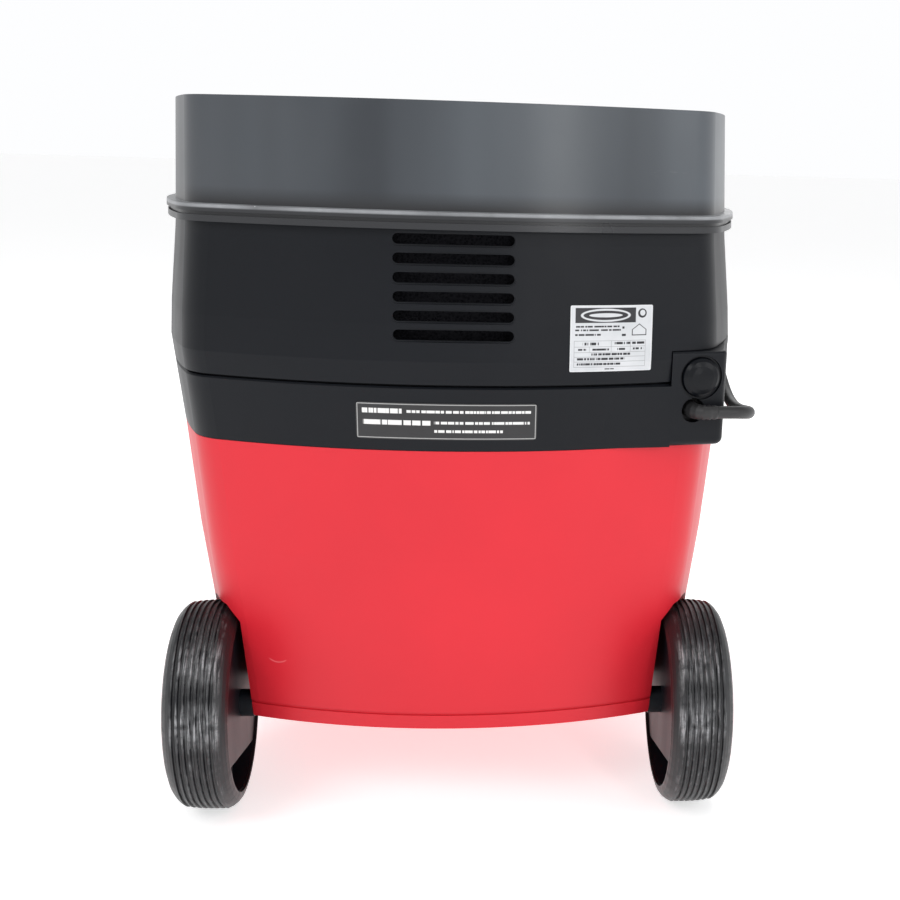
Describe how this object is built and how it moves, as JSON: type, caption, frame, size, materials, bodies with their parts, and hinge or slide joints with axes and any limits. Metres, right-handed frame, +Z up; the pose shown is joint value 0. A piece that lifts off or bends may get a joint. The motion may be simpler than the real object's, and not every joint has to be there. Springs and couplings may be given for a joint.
{
  "type": "shop vacuum",
  "caption": "Canister shop vacuum: wheeled moulded tub, lift-off motor head with rear exhaust vents, side latches, open tool caddy, fold-down handle, hose inlet and cord.",
  "frame": {"origin": "on the floor under the middle of the box around the vacuum without its cord", "axes": "+Z up, +Y towards the front (hose inlet), -Y towards the rear (large wheels and vents), +X to the right seen from behind"},
  "size_m": [0.3884, 0.5904, 0.418],
  "materials": {
    "axle_steel": "zinc plated",
    "black_shell": "satin moulded",
    "blade_brass": "stamped",
    "cap_black": "satin",
    "carrier_black": "satin moulded",
    "cord_black": "matt sheath",
    "deck_plastic": "moulded",
    "filter_fabric": "felt cloth",
    "foam": "open-cell foam",
    "fork_black": "black painted pressing",
    "gland_rubber": "matt",
    "grip_black": "matt",
    "handle_steel": "bright plated bar",
    "hub_cap": "moulded",
    "impeller_alu": "pressed",
    "label_black": "printed foil label",
    "lever_black": "satin moulded",
    "motor_metal": "galvanised",
    "plate_white": "printed foil label",
    "plug_black": "moulded",
    "red_shell": "satin moulded, light scuffs",
    "rotor_steel": "machined",
    "screw_steel": "zinc plated",
    "seal_rubber": "matt",
    "switch_plastic": "moulded",
    "tyre_black": "worn, scuffed",
    "wheel_black": "moulded"
  },
  "bodies": {
    "body": {"tub": "red_shell", "rear_axle": "axle_steel", "axle_carrier_left": "carrier_black", "axle_carrier_right": "carrier_black", "axle_cap_left": "hub_cap", "axle_cap_right": "hub_cap", "caster_housing_left": "carrier_black", "caster_housing_right": "carrier_black", "inlet_collar": "carrier_black", "inlet_screws": "screw_steel", "inlet_deflector": "carrier_black", "latch_bracket_left": "carrier_black", "latch_bracket_right": "carrier_black", "latch_pin_left": "axle_steel", "latch_pin_right": "axle_steel"},
    "head": {"tub_seal": "seal_rubber", "motor_deck": "deck_plastic", "head_band": "black_shell", "head_cover": "black_shell", "exhaust_foam": "foam", "switch_body": "switch_plastic", "cord_gland": "gland_rubber", "cord_boot": "gland_rubber", "cord": "cord_black", "cord_coil": "cord_black", "cord_tie": "gland_rubber", "cord_tail": "cord_black", "plug": "plug_black", "caddy_drum": "black_shell", "handle_pins": "axle_steel", "filter_cage": "deck_plastic", "filter_cloth": "filter_fabric", "filter_ring": "deck_plastic", "motor_mount": "seal_rubber", "fan_housing": "deck_plastic", "motor_can": "motor_metal", "motor_clamp": "motor_metal", "inner_lead": "cord_black", "rating_plate": "plate_white", "warning_label": "label_black", "plug_blades": "blade_brass"},
    "button": {"power_button": "cap_black"},
    "motor_rotor": {"rotor": "rotor_steel", "impeller": "impeller_alu"},
    "handle": {"carry_handle": "handle_steel", "handle_grip": "grip_black"},
    "rear_wheel_left": {"wheel_left": "wheel_black", "tyre_left": "tyre_black"},
    "caster_swivel_left": {"caster_fork_left": "fork_black", "caster_pin_left": "axle_steel"},
    "caster_roller_left": {"caster_wheel_left": "wheel_black"},
    "latch_left": {"latch_lever_left": "lever_black"},
    "rear_wheel_right": {"wheel_right": "wheel_black", "tyre_right": "tyre_black"},
    "caster_swivel_right": {"caster_fork_right": "fork_black", "caster_pin_right": "axle_steel"},
    "caster_roller_right": {"caster_wheel_right": "wheel_black"},
    "latch_right": {"latch_lever_right": "lever_black"}
  },
  "joints": [
    {"name": "head_lift", "type": "slide", "parent": "body", "child": "head", "axis": [0, 0, 1], "range_m": [0, 0.2]},
    {"name": "power_button_push", "type": "slide", "parent": "head", "child": "button", "axis": [-0.2079, 0.9781, 0], "range_m": [0, 0.003], "stiffness_N_per_m": 900, "springref_m": -0.001},
    {"name": "motor_spin", "type": "hinge", "parent": "head", "child": "motor_rotor", "pos_m": [0, 0, 0.3], "axis": [0, 0, 1], "continuous": true},
    {"name": "handle_swing", "type": "hinge", "parent": "head", "child": "handle", "pos_m": [0, 0, 0.404], "axis": [1, 0, 0], "range_deg": [0, 90]},
    {"name": "rear_wheel_spin_left", "type": "hinge", "parent": "body", "child": "rear_wheel_left", "pos_m": [-0.147, -0.125, 0.0635], "axis": [1, 0, 0], "continuous": true},
    {"name": "caster_swivel_left", "type": "hinge", "parent": "body", "child": "caster_swivel_left", "pos_m": [-0.095, 0.104, 0.055], "axis": [0, 0, 1], "continuous": true},
    {"name": "caster_roll_left", "type": "hinge", "parent": "caster_swivel_left", "child": "caster_roller_left", "pos_m": [-0.095, 0.088, 0.023], "axis": [1, 0, 0], "continuous": true},
    {"name": "latch_swing_left", "type": "hinge", "parent": "body", "child": "latch_left", "pos_m": [-0.1825, 0.052, 0.214], "axis": [0, -1, 0], "range_deg": [0, 95]},
    {"name": "rear_wheel_spin_right", "type": "hinge", "parent": "body", "child": "rear_wheel_right", "pos_m": [0.147, -0.125, 0.0635], "axis": [1, 0, 0], "continuous": true},
    {"name": "caster_swivel_right", "type": "hinge", "parent": "body", "child": "caster_swivel_right", "pos_m": [0.095, 0.104, 0.055], "axis": [0, 0, 1], "continuous": true},
    {"name": "caster_roll_right", "type": "hinge", "parent": "caster_swivel_right", "child": "caster_roller_right", "pos_m": [0.095, 0.088, 0.023], "axis": [1, 0, 0], "continuous": true},
    {"name": "latch_swing_right", "type": "hinge", "parent": "body", "child": "latch_right", "pos_m": [0.1825, 0.052, 0.214], "axis": [0, 1, 0], "range_deg": [0, 95]}
  ]
}
